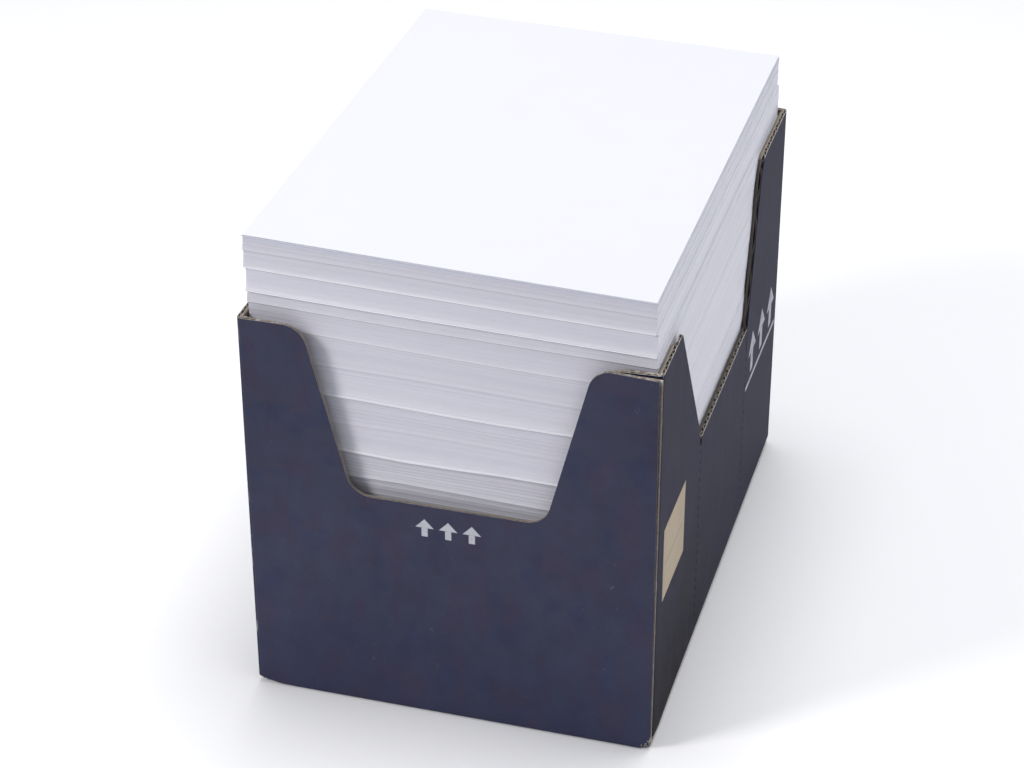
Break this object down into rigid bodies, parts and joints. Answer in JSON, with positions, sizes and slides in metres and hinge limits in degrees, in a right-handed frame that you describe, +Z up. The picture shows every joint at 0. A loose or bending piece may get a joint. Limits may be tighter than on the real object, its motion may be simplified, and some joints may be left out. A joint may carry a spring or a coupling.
{
  "type": "continuous invoice form",
  "caption": "Fan-folded stack of blank continuous form paper standing in an open-topped corrugated carton with a scooped front and cut-down sides.",
  "frame": {"origin": "middle of the footprint, on the surface that the carton stands on", "axes": "+Z up, the scooped front towards -Y, the glued corner and the label on the +X side"},
  "size_m": [0.2182, 0.313, 0.2707],
  "materials": {
    "printed_board": "dark blue printed corrugated board with kraft edges and a kraft inside",
    "form_paper": "matt white form paper, its folds in fine level lines",
    "label_paper": "matt tan paper label"
  },
  "bodies": {
    "root": {"carton": "printed_board", "form_stack": "form_paper", "label": "label_paper"}
  },
  "joints": []
}
